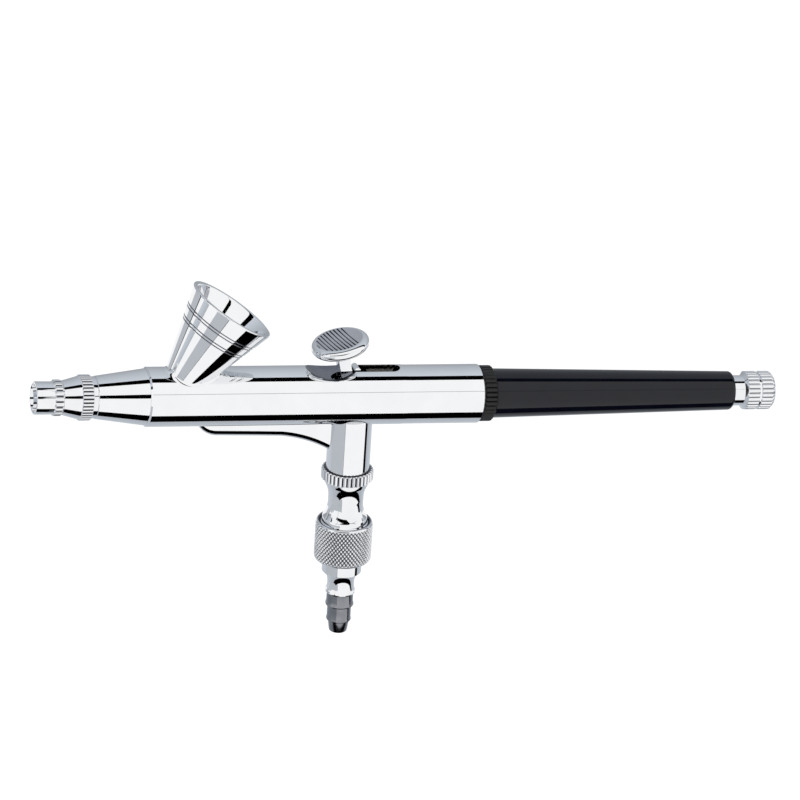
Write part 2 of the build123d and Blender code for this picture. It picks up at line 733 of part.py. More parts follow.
def hose_barb():
    """Hose tail: trapped flange, collar, waist and three barbs that shrink towards the tip."""
    flange_top = VALVE_BOTTOM - WASHER_THICKNESS
    flange_bottom = flange_top - 1.2
    return stem_turned(
        (flange_top, BARB_BORE_R),
        (flange_top, BARB_FLANGE_R),
        (flange_bottom, BARB_FLANGE_R),
        (flange_bottom, BARB_COLLAR_R),
        (BARB_COLLAR_BOTTOM, BARB_COLLAR_R),
        (BARB_COLLAR_BOTTOM, BARB_COLLAR_R - 0.5),
        (-42.0, 2.72, (-40.4, 2.9)),
        (-43.9, 3.08, (-43.1, 2.8)),
        (-44.4, 2.68),
        (-46.3, 2.72),
        (-46.75, 2.88),
        (-46.95, 2.72),
        (-47.1, 2.42),
        (-49.7, 2.4),
        (-50.1, 2.53),
        (-50.35, 2.4),
        (-50.5, 2.15),
        (BARB_TIP + 0.3, 1.85),
        (BARB_TIP, 1.6),
        (BARB_TIP, BARB_BORE_R),
    )


NODES = [
    main_body, head, head_seal, nozzle, nozzle_seal, nozzle_cap, needle_cap, paint_cup, air_stem,
    needle_packing, packing_screw, valve_body, valve_guide_screw, valve_plunger, plunger_seal,
    valve_spring, trigger_pin, trigger, auxiliary_lever, lever_pin, needle, needle_chuck_guide,
    needle_chuck_nut, needle_spring, spring_case, handle_collar, handle, limit_screw, limit_oring,
    limit_knob, coupling_nut, barb_washer, hose_barb,
]

os.makedirs("parts", exist_ok=True)
for node in NODES:
    export_step(node(), f"parts/{node.__name__}.step")
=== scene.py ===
import json
from math import atan2, cos, hypot, pi, radians, sin, sqrt

import bmesh
import bpy
from mathutils import Matrix, Vector


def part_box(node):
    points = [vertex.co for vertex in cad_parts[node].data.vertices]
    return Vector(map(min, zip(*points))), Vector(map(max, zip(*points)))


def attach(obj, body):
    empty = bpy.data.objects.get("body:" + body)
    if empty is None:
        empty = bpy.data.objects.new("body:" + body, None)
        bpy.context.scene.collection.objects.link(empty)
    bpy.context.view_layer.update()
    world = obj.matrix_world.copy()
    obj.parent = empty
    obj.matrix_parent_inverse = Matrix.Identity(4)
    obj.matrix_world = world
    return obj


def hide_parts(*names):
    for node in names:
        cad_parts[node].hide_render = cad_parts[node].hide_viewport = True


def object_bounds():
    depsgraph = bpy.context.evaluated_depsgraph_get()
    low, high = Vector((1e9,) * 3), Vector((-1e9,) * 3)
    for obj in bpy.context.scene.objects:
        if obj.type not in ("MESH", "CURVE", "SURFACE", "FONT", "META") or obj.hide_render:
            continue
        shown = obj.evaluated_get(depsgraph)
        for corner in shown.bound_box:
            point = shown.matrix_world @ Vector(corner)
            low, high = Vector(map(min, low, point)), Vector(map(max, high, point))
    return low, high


# Sizes are in millimetres and scaled once, when a mesh is made. The barrel lies along +X and +Z is up.
MM = 0.001
ROUND = 192

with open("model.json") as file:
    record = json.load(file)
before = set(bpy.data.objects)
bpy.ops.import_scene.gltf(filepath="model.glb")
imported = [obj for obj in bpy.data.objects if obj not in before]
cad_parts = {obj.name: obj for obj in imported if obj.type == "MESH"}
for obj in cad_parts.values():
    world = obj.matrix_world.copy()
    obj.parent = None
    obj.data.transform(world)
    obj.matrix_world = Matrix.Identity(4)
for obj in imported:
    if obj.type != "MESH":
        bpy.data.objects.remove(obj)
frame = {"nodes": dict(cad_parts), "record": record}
cad_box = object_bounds()

# --- Leaning parts: the same angles as the CAD model's ---
STEM_LEAN = radians(3.5)
CUP_LEAN = radians(30.0)
CUP_X = -37.96
TRIGGER_LEAN = radians(16.0)
PIVOT_DEPTH = 2.6
BODY_R = 6.0

# --- Camera ---
VIEW_SIDE = radians(19.087)
VIEW_UP = radians(23.909)
VIEW_ROLL = radians(-7.336)
VIEW_DISTANCE = 1319.26
LENS = 296.43
LOOK_RIGHT = 9.616
LOOK_UP = -1.104


# ---------------------------------------------------------------- mesh helpers

def axis_frame(origin, direction, side=(0, 1, 0)):
    """Matrix whose local Z runs along direction, with local Y along side."""
    z = Vector(direction).normalized()
    y = Vector(side)
    x = y.cross(z)
    turn = Matrix((x, y, z)).transposed().to_4x4()
    return Matrix.Translation(Vector(origin)) @ turn


BARREL = axis_frame((0, 0, 0), (1, 0, 0))
STEM = axis_frame((0, 0, 0), (-sin(STEM_LEAN), 0, cos(STEM_LEAN)))
CUP = axis_frame((CUP_X, 0, 0), (sin(CUP_LEAN), 0, cos(CUP_LEAN)))
PIVOT = STEM @ Vector((0, 0, -PIVOT_DEPTH))
TRIGGER = axis_frame(PIVOT, (-sin(TRIGGER_LEAN), 0, cos(TRIGGER_LEAN)))


def make_object(name, vertices, faces, place, crease=radians(28)):
    """Mesh object from points in millimetres in the frame place, smooth except at creases."""
    mesh = bpy.data.meshes.new(name)
    mesh.from_pydata([(place @ Vector(v)) * MM for v in vertices], [], faces)
    mesh.validate()
    bm = bmesh.new()
    bm.from_mesh(mesh)
    bmesh.ops.remove_doubles(bm, verts=bm.verts, dist=1e-8)
    bmesh.ops.recalc_face_normals(bm, faces=bm.faces)
    bm.to_mesh(mesh)
    bm.free()
    mesh.shade_smooth()
    mesh.set_sharp_from_angle(angle=crease)
    obj = bpy.data.objects.new(name, mesh)
    bpy.context.scene.collection.objects.link(obj)
    return obj


def revolve(name, profile, place, closed=True, around=ROUND, radius=None):
    """Solid of revolution. profile is a list of (height, r); radius(height, r, angle) may change r."""
    columns = [2 * pi * k / around for k in range(around)]
    vertices = []
    for height, r in profile:
        for angle in columns:
            rr = radius(height, r, angle) if radius else r
            vertices.append((rr * cos(angle), rr * sin(angle), height))
    rows = len(profile)
    faces = []
    for i in range(rows if closed else rows - 1):
        j = (i + 1) % rows
        for k in range(around):
            m = (k + 1) % around
            faces.append((i * around + k, i * around + m, j * around + m, j * around + k))
    return make_object(name, vertices, faces, place)


def arc(start, end, bulge, steps=10):
    """Points of a circular arc from start to end; bulge is its height over the chord, + to the left."""
    (x0, y0), (x1, y1) = start, end
    chord = hypot(x1 - x0, y1 - y0)
    r = (chord * chord / 4 + bulge * bulge) / (2 * abs(bulge))
    side = 1 if bulge > 0 else -1
    nx, ny = -(y1 - y0) / chord * side, (x1 - x0) / chord * side
    mx, my = (x0 + x1) / 2, (y0 + y1) / 2
    cx, cy = mx + nx * (abs(bulge) - r), my + ny * (abs(bulge) - r)
    a0 = atan2(y0 - cy, x0 - cx)
    a1 = atan2(y1 - cy, x1 - cx)
    turn = (a1 - a0 + pi) % (2 * pi) - pi
    return [
        (cx + r * cos(a0 + turn * k / steps), cy + r * sin(a0 + turn * k / steps))
        for k in range(steps + 1)
    ]


def rows_between(start, end, count):
    """Evenly spaced heights from start to end, both included."""
    return [start + (end - start) * k / count for k in range(count + 1)]


def boolean(obj, cutter, operation="DIFFERENCE"):
    """Applies cutter to obj and removes cutter."""
    modifier = obj.modifiers.new("cut", "BOOLEAN")
    modifier.operation = operation
    modifier.solver = "EXACT"
    modifier.object = cutter
    graph = bpy.context.evaluated_depsgraph_get()
    mesh = bpy.data.meshes.new_from_object(obj.evaluated_get(graph))
    obj.modifiers.clear()
    obj.data = mesh
    bpy.data.objects.remove(cutter)
    return obj


def exact_normals(obj, surfaces, crease=0.35):
    """Gives each corner the true normal of the curved surface that its face lies on, so mirrors stay clean.
    A surface is a function of a point in millimetres that returns its unit normal there, or None."""
    mesh = obj.data
    normals = []
    for face in mesh.polygons:
        for index in face.loop_indices:
            point = mesh.vertices[mesh.loops[index].vertex_index].co / MM
            normal = face.normal
            for surface in surfaces:
                found = surface(point)
                if found is not None and found.angle(face.normal, pi) < crease:
                    normal = found
                    break
            normals.append(normal)
    mesh.shade_smooth()
    mesh.normals_split_custom_set([tuple(n) for n in normals])
    return obj


def smooth_creases(obj, degrees=28):
    obj.data.shade_smooth()
    obj.data.set_sharp_from_angle(angle=radians(degrees))
    return obj


def finish_piece(obj, body, slot, material, *nodes):
    """Rides the piece on its body and lets it stand for its CAD nodes; the slot argument is not used."""
    obj.data.materials.clear()
    obj.data.materials.append(material)
    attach(obj, body)
    if nodes:
        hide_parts(*nodes)
    return obj


# ------------------------------------------------------------------- materials

class Nodes:
    """A material's node tree, with short calls for the nodes that the finishes share."""

    def __init__(self, name):
        self.material = bpy.data.materials.new(name)
        self.material.use_nodes = True
        self.tree = self.material.node_tree
        self.shader = self.tree.nodes["Principled BSDF"]
        self.coords = self.tree.nodes.new("ShaderNodeTexCoord")

    def set(self, **values):
        for key, value in values.items():
            self.shader.inputs[key.replace("_", " ")].default_value = value
        return self

    def noise(self, scale, detail=4.0, stretch=(1, 1, 1)):
        mapping = self.tree.nodes.new("ShaderNodeMapping")
        mapping.inputs["Scale"].default_value = stretch
        texture = self.tree.nodes.new("ShaderNodeTexNoise")
        texture.inputs["Scale"].default_value = scale
        texture.inputs["Detail"].default_value = detail
        self.tree.links.new(self.coords.outputs["Object"], mapping.inputs["Vector"])
        self.tree.links.new(mapping.outputs["Vector"], texture.inputs["Vector"])
        return texture.outputs["Fac"]

    def spread(self, value, low, high, start=0.3, stop=0.7):
        ramp = self.tree.nodes.new("ShaderNodeMapRange")
        for key, number in zip(("From Min", "From Max", "To Min", "To Max"), (start, stop, low, high)):
            ramp.inputs[key].default_value = number
        self.tree.links.new(value, ramp.inputs["Value"])
        return ramp.outputs["Result"]

    def mix(self, factor, first, second):
        mix = self.tree.nodes.new("ShaderNodeMix")
        mix.data_type = "RGBA"
        mix.inputs["A"].default_value = (*first, 1)
        mix.inputs["B"].default_value = (*second, 1)
        self.tree.links.new(factor, mix.inputs["Factor"])
        return mix.outputs["Result"]

    def link(self, output, socket):
        self.tree.links.new(output, self.shader.inputs[socket])
        return self

    def bump(self, height, strength, distance):
        bump = self.tree.nodes.new("ShaderNodeBump")
        bump.inputs["Strength"].default_value = strength
        bump.inputs["Distance"].default_value = distance
        self.tree.links.new(height, bump.inputs["Height"])
        self.tree.links.new(bump.outputs["Normal"], self.shader.inputs["Normal"])
        return self


def plated(name, bright, dull, rough_low, rough_high, bump=0.02):
    """Chrome or nickel plate: clouded tint, patches of finer and coarser polish, faint ripple."""
    nodes = Nodes(name).set(Metallic=1.0)
    cloud = nodes.noise(220, 5)
    nodes.link(nodes.mix(nodes.spread(cloud, 0, 1), bright, dull), "Base Color")
    smear = nodes.noise(900, 6, (0.35, 1, 1))
    nodes.link(nodes.spread(smear, rough_low, rough_high), "Roughness")
    nodes.bump(nodes.noise(1600, 3, (0.2, 1, 1)), bump, 0.00002)
    return nodes.material


def turned_metal(name, bright, dull, rough_low, rough_high, rings=(8, 1, 1)):
    """Turned metal: fine tool rings across the axis and slight colour variation."""
    nodes = Nodes(name).set(Metallic=1.0)
    nodes.link(nodes.mix(nodes.spread(nodes.noise(400, 5), 0, 1), bright, dull), "Base Color")
    ring = nodes.noise(1500, 3, rings)
    nodes.link(nodes.spread(ring, rough_low, rough_high), "Roughness")
    nodes.bump(ring, 0.12, 0.00002)
    return nodes.material


def lacquer(name, base, glow, rough_low, rough_high):
    """Gloss black lacquer with slight orange peel and dust-fine haze."""
    nodes = Nodes(name).set(IOR=1.42)
    nodes.link(nodes.mix(nodes.spread(nodes.noise(260, 4), 0, 1), base, glow), "Base Color")
    nodes.link(nodes.spread(nodes.noise(700, 5), rough_low, rough_high), "Roughness")
    nodes.bump(nodes.noise(1100, 2), 0.03, 0.00002)
    return nodes.material


def soft_material(name, base, tint, roughness, grain):
    """PTFE, rubber or fibre: matt, with a fine grain."""
    nodes = Nodes(name).set(Roughness=roughness)
    nodes.link(nodes.mix(nodes.spread(nodes.noise(grain, 5), 0, 1), base, tint), "Base Color")
    nodes.bump(nodes.noise(grain * 3, 4), 0.3, 0.00003)
    return nodes.material


CHROME = plated("chrome_plate", (0.90, 0.905, 0.915), (0.86, 0.87, 0.885), 0.015, 0.045)
TRIM = plated("chrome_trim_plate", (0.89, 0.895, 0.91), (0.83, 0.84, 0.86), 0.03, 0.08, 0.04)
SATIN = plated("satin_button_face", (0.66, 0.665, 0.70), (0.60, 0.605, 0.64), 0.16, 0.24, 0.10)
BARB_STEEL = turned_metal("barb_nickel", (0.30, 0.31, 0.33), (0.22, 0.23, 0.25), 0.10, 0.20, (1, 1, 8))
# Painted shade: darkened chrome laid on the finger hollow, where the recess lies in shade.
SCOOP_PAINTED_SHADE = plated("scoop_painted_shade", (0.26, 0.27, 0.30), (0.20, 0.21, 0.24), 0.06, 0.12, 0.04)
# Painted shade: near-black turned metal laid into grooves, flutes and recesses where shade falls, not a
# finish of its own.
GROOVE_PAINTED_SHADE = turned_metal("shadowed_groove", (0.16, 0.165, 0.185), (0.10, 0.105, 0.12), 0.30, 0.45)
BRASS = turned_metal("nickelled_brass", (0.15, 0.14, 0.12), (0.11, 0.10, 0.085), 0.28, 0.40)
STEEL = turned_metal("polished_steel", (0.78, 0.79, 0.80), (0.66, 0.67, 0.69), 0.08, 0.16)
WIRE = turned_metal("spring_wire", (0.55, 0.56, 0.58), (0.40, 0.41, 0.43), 0.20, 0.32)
LACQUER = lacquer("black_lacquer", (0.0015, 0.0019, 0.0050), (0.0030, 0.0036, 0.0080), 0.05, 0.09)
BLACK_TRIM = lacquer("black_knurl", (0.0020, 0.0021, 0.0026), (0.0060, 0.0061, 0.0070), 0.14, 0.22)
PTFE = soft_material("ptfe", (0.86, 0.86, 0.83), (0.78, 0.78, 0.75), 0.45, 900)
RUBBER = soft_material("seal_rubber", (0.02, 0.02, 0.02), (0.045, 0.045, 0.045), 0.7, 1200)
FIBRE = soft_material("fibre_washer", (0.33, 0.11, 0.07), (0.22, 0.07, 0.05), 0.8, 1500)

BY_SLOT = {
    "chrome_body": CHROME, "chrome_trim": TRIM, "nickel_brass": BRASS, "polished_steel": STEEL,
    "spring_steel": WIRE, "black_lacquer": LACQUER, "black_knurl": BLACK_TRIM, "ptfe": PTFE,
    "seal_rubber": RUBBER, "fibre_washer": FIBRE,
}


def paint_groove_shade(obj, place, low, high, limit_r):
    """Paints shade into grooves: gives the dark painted-shade material to the faces between two heights that
    lie deeper than limit_r.
    """
    obj.data.materials.append(GROOVE_PAINTED_SHADE)
    index = len(obj.data.materials) - 1
    inverse = place.inverted()
    for face in obj.data.polygons:
        local = inverse @ (face.center / MM)
        if low < local.z < high and hypot(local.x, local.y) < limit_r:
            face.material_index = index


def dress_cad_nodes():
    """Gives each CAD node the material of its slot in the record."""
    for part in frame["record"]["subparts"]:
        node = frame["nodes"][part["node"]]
        node.data.materials.clear()
        node.data.materials.append(BY_SLOT[part["material_slot"]])
        for face in node.data.polygons:
            face.material_index = 0


# ------------------------------------------------------------- barrel and head

SCOOP_CENTRE = Vector((-5.1, 0, 10.9))
SCOOP_R = 7.2
SLOT_FRONT_X = -4.8
SLOT_REAR_X = 9.3
SLOT_WIDTH = 3.4
CAVITY_R = 2.9


def cylinder(name, place, z0, z1, r, around=96):
    """Closed round bar in the frame place, from z0 to z1."""
    ring = [(r * cos(2 * pi * k / around), r * sin(2 * pi * k / around)) for k in range(around)]
    vertices = [(x, y, z) for z in (z0, z1) for x, y in ring]
    faces = [tuple(range(around)), tuple(range(around, 2 * around))]
    faces += [(k, (k + 1) % around, around + (k + 1) % around, around + k) for k in range(around)]
    return make_object(name, vertices, faces, place)


def ball(name, centre, r):
    """Round cutter of radius r."""
    steps = 96
    half = [(-r * cos(pi * k / steps), max(r * sin(pi * k / steps), 1e-4)) for k in range(steps + 1)]
    return revolve(name, half, axis_frame(centre, (0, 0, 1)))


def slot_cutter():
    """The trigger slot's outline, round at both ends, stood upright through the barrel's top."""
    half = SLOT_WIDTH / 2
    steps = 24
    outline = []
    for centre, start in ((SLOT_REAR_X - half, -pi / 2), (SLOT_FRONT_X + half, pi / 2)):
        for k in range(steps + 1):
            angle = start + pi * k / steps
            outline.append((centre + half * cos(angle), half * sin(angle)))
    count = len(outline)
    vertices = [(x, y, z) for z in (0.5, BODY_R + 1) for x, y in outline]
    faces = [tuple(range(count)), tuple(range(count, 2 * count))]
    faces += [(k, (k + 1) % count, count + (k + 1) % count, count + k) for k in range(count)]
    return make_object("slot_cutter", vertices, faces, Matrix.Identity(4))


def on_barrel(point):
    """Normal of the barrel's outside."""
    r = hypot(point.y, point.z)
    return Vector((0, point.y / r, point.z / r)) if r > BODY_R - 0.06 else None


def in_scoop(point):
    """Normal of the hollow that the finger tip rests in."""
    away = SCOOP_CENTRE - point
    return away.normalized() if abs(away.length - SCOOP_R) < 0.02 else None


def build_barrel():
    front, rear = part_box("main_body")[0].x / MM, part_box("main_body")[1].x / MM
    profile = [(front, 4.62), (front, 5.70), (front + 0.3, BODY_R)]
    profile += [(x, BODY_R) for x in rows_between(front + 1, 9.8, 48)]
    profile += [(10.6, 5.95), (rear - 0.25, 5.95), (rear, 5.70), (rear, 4.3), (9.0, 4.3), (9.0, CAVITY_R)]
    profile += [(-3.0, CAVITY_R), (-3.0, 2.2), (-14.0, 2.2), (-14.0, 1.4), (-39.8, 1.4), (-39.8, 4.62)]
    barrel = revolve("barrel", profile, BARREL)
    boolean(barrel, slot_cutter())
    boolean(barrel, ball("scoop_cutter", SCOOP_CENTRE, SCOOP_R))
    boolean(barrel, cylinder("cup_cutter", CUP, 2.0, 10.0, 2.38))
    boolean(barrel, cylinder("stem_cutter", STEM, -8.0, 0.0, 2.1))
    exact_normals(barrel, (on_barrel, in_scoop))
    finish_piece(barrel, "airbrush_body", "chrome_body", CHROME, "main_body")
    # The finger hollow's faces get the darker chrome: painted shade in the recess.
    barrel.data.materials.append(SCOOP_PAINTED_SHADE)
    for face in barrel.data.polygons:
        if abs((face.center / MM - SCOOP_CENTRE).length - SCOOP_R) < 0.03:
            face.material_index = 1


def build_head():
    front, rear = -53.4, -43.15
    profile = [(front, 3.4), (front, 4.21), (front + 0.09, 4.3)]
    profile += [(rear - 0.10, 5.69), (rear, 5.60), (rear, 4.6)]
    profile += [
        (-40.6, 4.6), (-40.6, 1.4), (-52.6, 1.4), (-52.6, 1.9),
        (-57.4, 1.9), (-57.4, 3.28), (front, 3.28),
    ]
    head = revolve("head_cone", profile, BARREL)
    finish_piece(head, "airbrush_body", "chrome_body", CHROME, "head")


# ---------------------------------------------------------------- knurled rings

def flute(count, depth, sharpness=1.0):
    """Radius change of lengthwise ridges round a ring: 0 on a crest, -depth in a groove."""
    def change(angle):
        wave = abs(sin(count * angle / 2))
        return -depth * (1 - wave) ** sharpness
    return change


def ring_radius(start, end, change, fade=0.25):
    """Radius function that cuts flutes between two heights and leaves the rest round."""
    def radius(height, r, angle):
        if not start - 1e-6 <= height <= end + 1e-6:
            return r
        edge = min(height - start, end - height) / fade
        return r + change(angle) * min(1.0, 0.55 + max(0.0, edge))
    return radius


def build_nozzle_cap():
    ring0, ring1, ring_r = -56.7, -54.35, 4.58
    profile = [(-62.6, 0.9), (-62.6, 2.3), (-60.2, 2.3), (-60.2, 3.34), (-60.13, 3.41), (ring0 - 0.02, 4.33)]
    profile += [(ring0, 4.37), (ring0 + 0.12, ring_r)]
    profile += [(x, ring_r) for x in rows_between(ring0 + 0.3, ring1 - 0.3, 4)]
    profile += [(ring1 - 0.12, ring_r), (ring1, 4.40), (ring1 + 0.02, 4.19), (-53.48, 4.2), (-53.4, 4.12)]
    profile += [(-53.4, 3.3), (-58.4, 3.3), (-58.4, 2.7), (-60.2, 1.75)]
    ridges = ring_radius(ring0, ring1, flute(36, 0.34, 1.6))
    cap = revolve("nozzle_cap_ring", profile, BARREL, around=36 * 12, radius=ridges)
    finish_piece(cap, "airbrush_body", "chrome_trim", TRIM, "nozzle_cap")
    # Painted shade in the grooves between the cap ring's flutes.
    paint_groove_shade(cap, BARREL, ring0 + 0.1, ring1 - 0.1, ring_r - 0.14)


def build_needle_cap():
    front, ring0, ring1 = -65.7, -62.0, -60.2
    profile = [(front, 2.9), (front, 3.18)] + arc((front, 3.18), (front + 0.12, 3.3), 0.03, 4)[1:]
    profile += [(ring0 - 0.05, 3.3), (ring0, 3.34), (ring0 + 0.22, 3.65)]
    profile += [(x, 3.65) for x in rows_between(ring0 + 0.4, ring1 - 0.4, 4)]
    profile += [
        (ring1 - 0.22, 3.65), (ring1, 3.4), (ring1, 2.32), (-62.6, 2.32),
        (-62.6, 2.85), (front + 0.1, 2.85),
    ]
    waves = ring_radius(ring0, ring1, flute(18, 0.34, 1.3), fade=0.4)
    cap = revolve("needle_cap_tube", profile, BARREL, around=18 * 16, radius=waves)
    finish_piece(cap, "airbrush_body", "chrome_trim", TRIM, "needle_cap")
    # Painted shade in the needle cap's wave grooves.
    paint_groove_shade(cap, BARREL, ring0 + 0.2, ring1 - 0.2, 3.47)


def build_valve_body():
    ring0, ring1 = -18.5, -16.2
    profile = [
        (-32.8, 1.5), (-32.8, 4.7), (-32.6, 4.86), (-28.1, 4.86),
        (-27.9, 4.62), (-27.6, 4.55), (-27.0, 4.55),
    ]
    profile += arc((-26.9, 4.5), (-22.9, 3.58), -0.36, 16)
    profile += arc((-22.9, 3.58), (-19.6, 4.3), -0.24, 16)[1:]
    profile += [(ring0 - 0.05, 4.32), (ring0, 4.9), (ring0 + 0.16, 5.25)]
    profile += [(z, 5.25) for z in rows_between(ring0 + 0.35, ring1 - 0.35, 4)]
    profile += [(ring1 - 0.16, 5.25), (ring1, 4.95), (ring1, 3.28), (-13.0, 3.28), (-13.0, 2.6), (-9.5, 2.6)]
    profile += [(-9.5, 0.7), (-14.2, 0.7), (-14.2, 2.2), (-24.0, 2.2), (-24.0, 1.5)]
    teeth = ring_radius(ring0, ring1, flute(34, 0.42, 0.9), fade=0.2)
    valve = revolve("valve_housing", profile, STEM, around=34 * 12, radius=teeth)
    finish_piece(valve, "airbrush_body", "chrome_trim", TRIM, "valve_body")
    # Painted shade in the grip ring's tooth grooves and on the step face under the ring.
    paint_groove_shade(valve, STEM, ring0 + 0.1, ring1 - 0.1, 5.06)
    paint_groove_shade(valve, STEM, ring1 - 0.01, ring1 + 0.01, 4.9)


def build_coupling_nut():
    top, bottom = -27.9, -36.4
    columns, pitch, depth = 46, 1.0, 0.32

    def diamonds(height, r, angle):
        if not (bottom + 0.45 < height < top - 0.45 and r > 5.7):
            return r
        turn = columns * angle / 2
        climb = pi * height / pitch
        ridge = abs(sin(turn + climb)) * abs(sin(turn - climb))
        return r - depth + depth * min(1.0, 1.35 * ridge)

    profile = [(bottom, 4.1), (bottom, 5.4)] + arc((bottom, 5.4), (bottom + 0.4, 5.72), 0.06, 4)[1:]
    profile += [(z, 5.8) for z in rows_between(bottom + 0.46, top - 0.46, 130)]
    profile += [(top - 0.4, 5.74)] + arc((top - 0.3, 5.66), (top, 5.36), 0.07, 4)
    profile += [(top, 5.1), (top - 0.35, 4.95), (-33.5, 4.95), (-34.75, 4.95), (-34.75, 4.1)]
    nut = revolve("knurled_nut", profile, STEM, around=columns * 8, radius=diamonds)
    finish_piece(nut, "coupling_nut", "chrome_trim", TRIM, "coupling_nut")
    # Painted shade between the knurl's diamonds and inside the nut's top rim.
    paint_groove_shade(nut, STEM, bottom + 0.5, top - 0.5, 5.8 - 0.62 * depth)
    paint_groove_shade(nut, STEM, top - 0.4, top + 0.01, 5.3)


def build_hose_barb():
    profile = [
        (-33.3, 1.2), (-33.3, 4.75), (-34.5, 4.75), (-34.5, 4.0),
        (-39.15, 4.0), (-39.3, 3.85), (-39.3, 3.55),
    ]
    profile += arc((-39.35, 3.5), (-42.0, 2.72), 0.22, 12)
    profile += arc((-42.0, 2.72), (-43.75, 3.08), 0.10, 10)[1:]
    profile += [
        (-43.9, 3.05), (-44.05, 2.9), (-44.2, 2.68), (-46.2, 2.72),
        (-46.5, 2.84), (-46.7, 2.88), (-46.9, 2.82),
    ]
    profile += [(-47.05, 2.42), (-49.6, 2.42), (-49.9, 2.50), (-50.1, 2.53), (-50.3, 2.46), (-50.45, 2.15)]
    profile += [(-52.6, 1.85), (-52.8, 1.75), (-52.9, 1.6), (-52.9, 1.2)]
    tail = revolve("hose_tail_barbs", profile, STEM)
    tail.data.materials.clear()
    finish_piece(tail, "hose_tail", "chrome_trim", TRIM, "hose_barb")
    tail.data.materials.append(BARB_STEEL)
    axis = (STEM.to_3x3() @ Vector((0, 0, 1)))
    for face in tail.data.polygons:
        if face.center.dot(axis) / MM < -43.95:
            face.material_index = 1


def build_handle_collar():
    x0, x1, r = 26.4, 29.1, 5.65
    profile = [(x0, 3.97), (x0, 5.35), (x0 + 0.25, r)]
    profile += [(x, r) for x in rows_between(x0 + 0.5, x1 - 0.5, 4)]
    profile += [(x1 - 0.25, r), (x1, 5.3), (x1, 3.97)]
    teeth = ring_radius(x0, x1, flute(34, 0.30, 1.2), fade=0.3)
    collar = revolve("knurled_collar", profile, BARREL, around=34 * 12, radius=teeth)
    finish_piece(collar, "airbrush_body", "black_knurl", BLACK_TRIM, "handle_collar")


def build_handle():
    x0, x1, round_x = 29.1, 80.6, 79.8
    profile = [(x0, 3.97), (x0, 4.9), (x0 + 0.12, 5.0)]
    profile += [(x, 5.0 - 1.05 * (x - x0) / (round_x - x0)) for x in rows_between(x0 + 1, round_x - 0.4, 30)]
    profile += arc((round_x, 3.95), (x1, 3.50), 0.14, 12)
    profile += [
        (x1, 3.35), (x1 - 0.4, 3.2), (76.5, 3.2), (76.5, 1.55),
        (69.5, 1.55), (69.5, 3.45), (36.8, 3.45),
    ]
    profile += [(36.8, 3.97)]
    handle = revolve("tapered_handle", profile, BARREL)
    finish_piece(handle, "airbrush_body", "black_lacquer", LACQUER, "handle")


def build_limit_knob():
    r, start, groove0, groove1, grip_end, end = 3.92, 83.4, 85.85, 86.4, 88.7, 89.3
    profile = [
        (78.9, 1.5), (78.9, 3.1), (82.85, 3.1), (82.9, 3.15),
        (start - 0.08, r - 0.12), (start, r - 0.02),
    ]
    profile += [(x, r) for x in rows_between(start + 0.2, groove0 - 0.15, 4)]
    profile += [(groove0, r - 0.04), (groove0 + 0.1, 3.58), (groove1 - 0.1, 3.58), (groove1, r - 0.04)]
    profile += [(x, r) for x in rows_between(groove1 + 0.15, grip_end - 0.1, 4)]
    profile += [(grip_end, r - 0.03), (end - 0.2, 3.5), (end, 3.3), (end, 1.3), (end - 0.3, 1.1)]
    profile += [(end - 0.3, 0.0001), (87.6, 0.0001), (87.6, 1.5)]

    def flutes(height, radius, angle):
        if radius < 3.7 or height < start + 0.15:
            return radius
        return radius - 0.32 * (1 - abs(sin(24 * angle / 2))) ** 1.4

    knob = revolve("limit_knob_grip", profile, BARREL, around=24 * 16, radius=flutes)
    finish_piece(knob, "limit_knob", "chrome_trim", TRIM, "limit_knob")
    # Painted shade in the knob's flute grooves.
    for low, high in ((start + 0.2, groove0 - 0.05), (groove1 + 0.05, grip_end)):
        paint_groove_shade(knob, BARREL, low, high, r - 0.22)


# ------------------------------------------------------------------- paint cup

CUP_RIM_S = 21.95
CUP_RIM_R = 9.25
CUP_FOOT_S = 4.0
CUP_FOOT_R = 3.79


def cup_r(s):
    """Outside radius of the cup's cone at a height along its axis."""
    return CUP_FOOT_R + (CUP_RIM_R - CUP_FOOT_R) * (s - CUP_FOOT_S) / (CUP_RIM_S - CUP_FOOT_S)


def groove(s, width=0.34, depth=0.16):
    """Four profile points of a fine groove round the cup."""
    half = width / 2
    return [(s - half, cup_r(s - half)), (s - half * 0.5, cup_r(s) - depth),
            (s + half * 0.5, cup_r(s) - depth), (s + half, cup_r(s + half))]


def build_paint_cup():
    profile = [(2.0, 1.3), (2.0, 2.38), (3.2, 2.38), (3.2, cup_r(3.2))]
    profile += [(s, cup_r(s)) for s in rows_between(4.0, 14.6, 16)]
    for s in (15.15, 15.75, 17.65, 18.25):
        profile += groove(s)
    profile += [(s, cup_r(s)) for s in rows_between(18.9, 21.6, 4)]
    profile += arc((21.72, cup_r(21.72)), (CUP_RIM_S, 9.0), 0.05, 5)
    profile += [(CUP_RIM_S, 8.5)] + arc((CUP_RIM_S, 8.42), (CUP_RIM_S - 0.25, 8.12), 0.05, 5)
    profile += [(s, 2.9 + (8.05 - 2.9) * (s - 7.2) / (21.55 - 7.2)) for s in rows_between(21.4, 7.6, 24)]
    profile += arc((7.3, 2.94), (6.0, 1.6), -0.12, 8) + [(5.6, 1.3)]
    cup = revolve("cup_shell", profile, CUP, around=256)
    finish_piece(cup, "airbrush_body", "chrome_body", CHROME, "paint_cup")
    # Painted shade: the floors of the fine grooves round the cup get the dark groove material.
    cup.data.materials.append(GROOVE_PAINTED_SHADE)
    inverse = CUP.inverted()
    for face in cup.data.polygons:
        local = inverse @ (face.center / MM)
        if 15.0 < local.z < 18.4 and 0.1 < cup_r(local.z) - hypot(local.x, local.y) < 0.3:
            face.material_index = 1


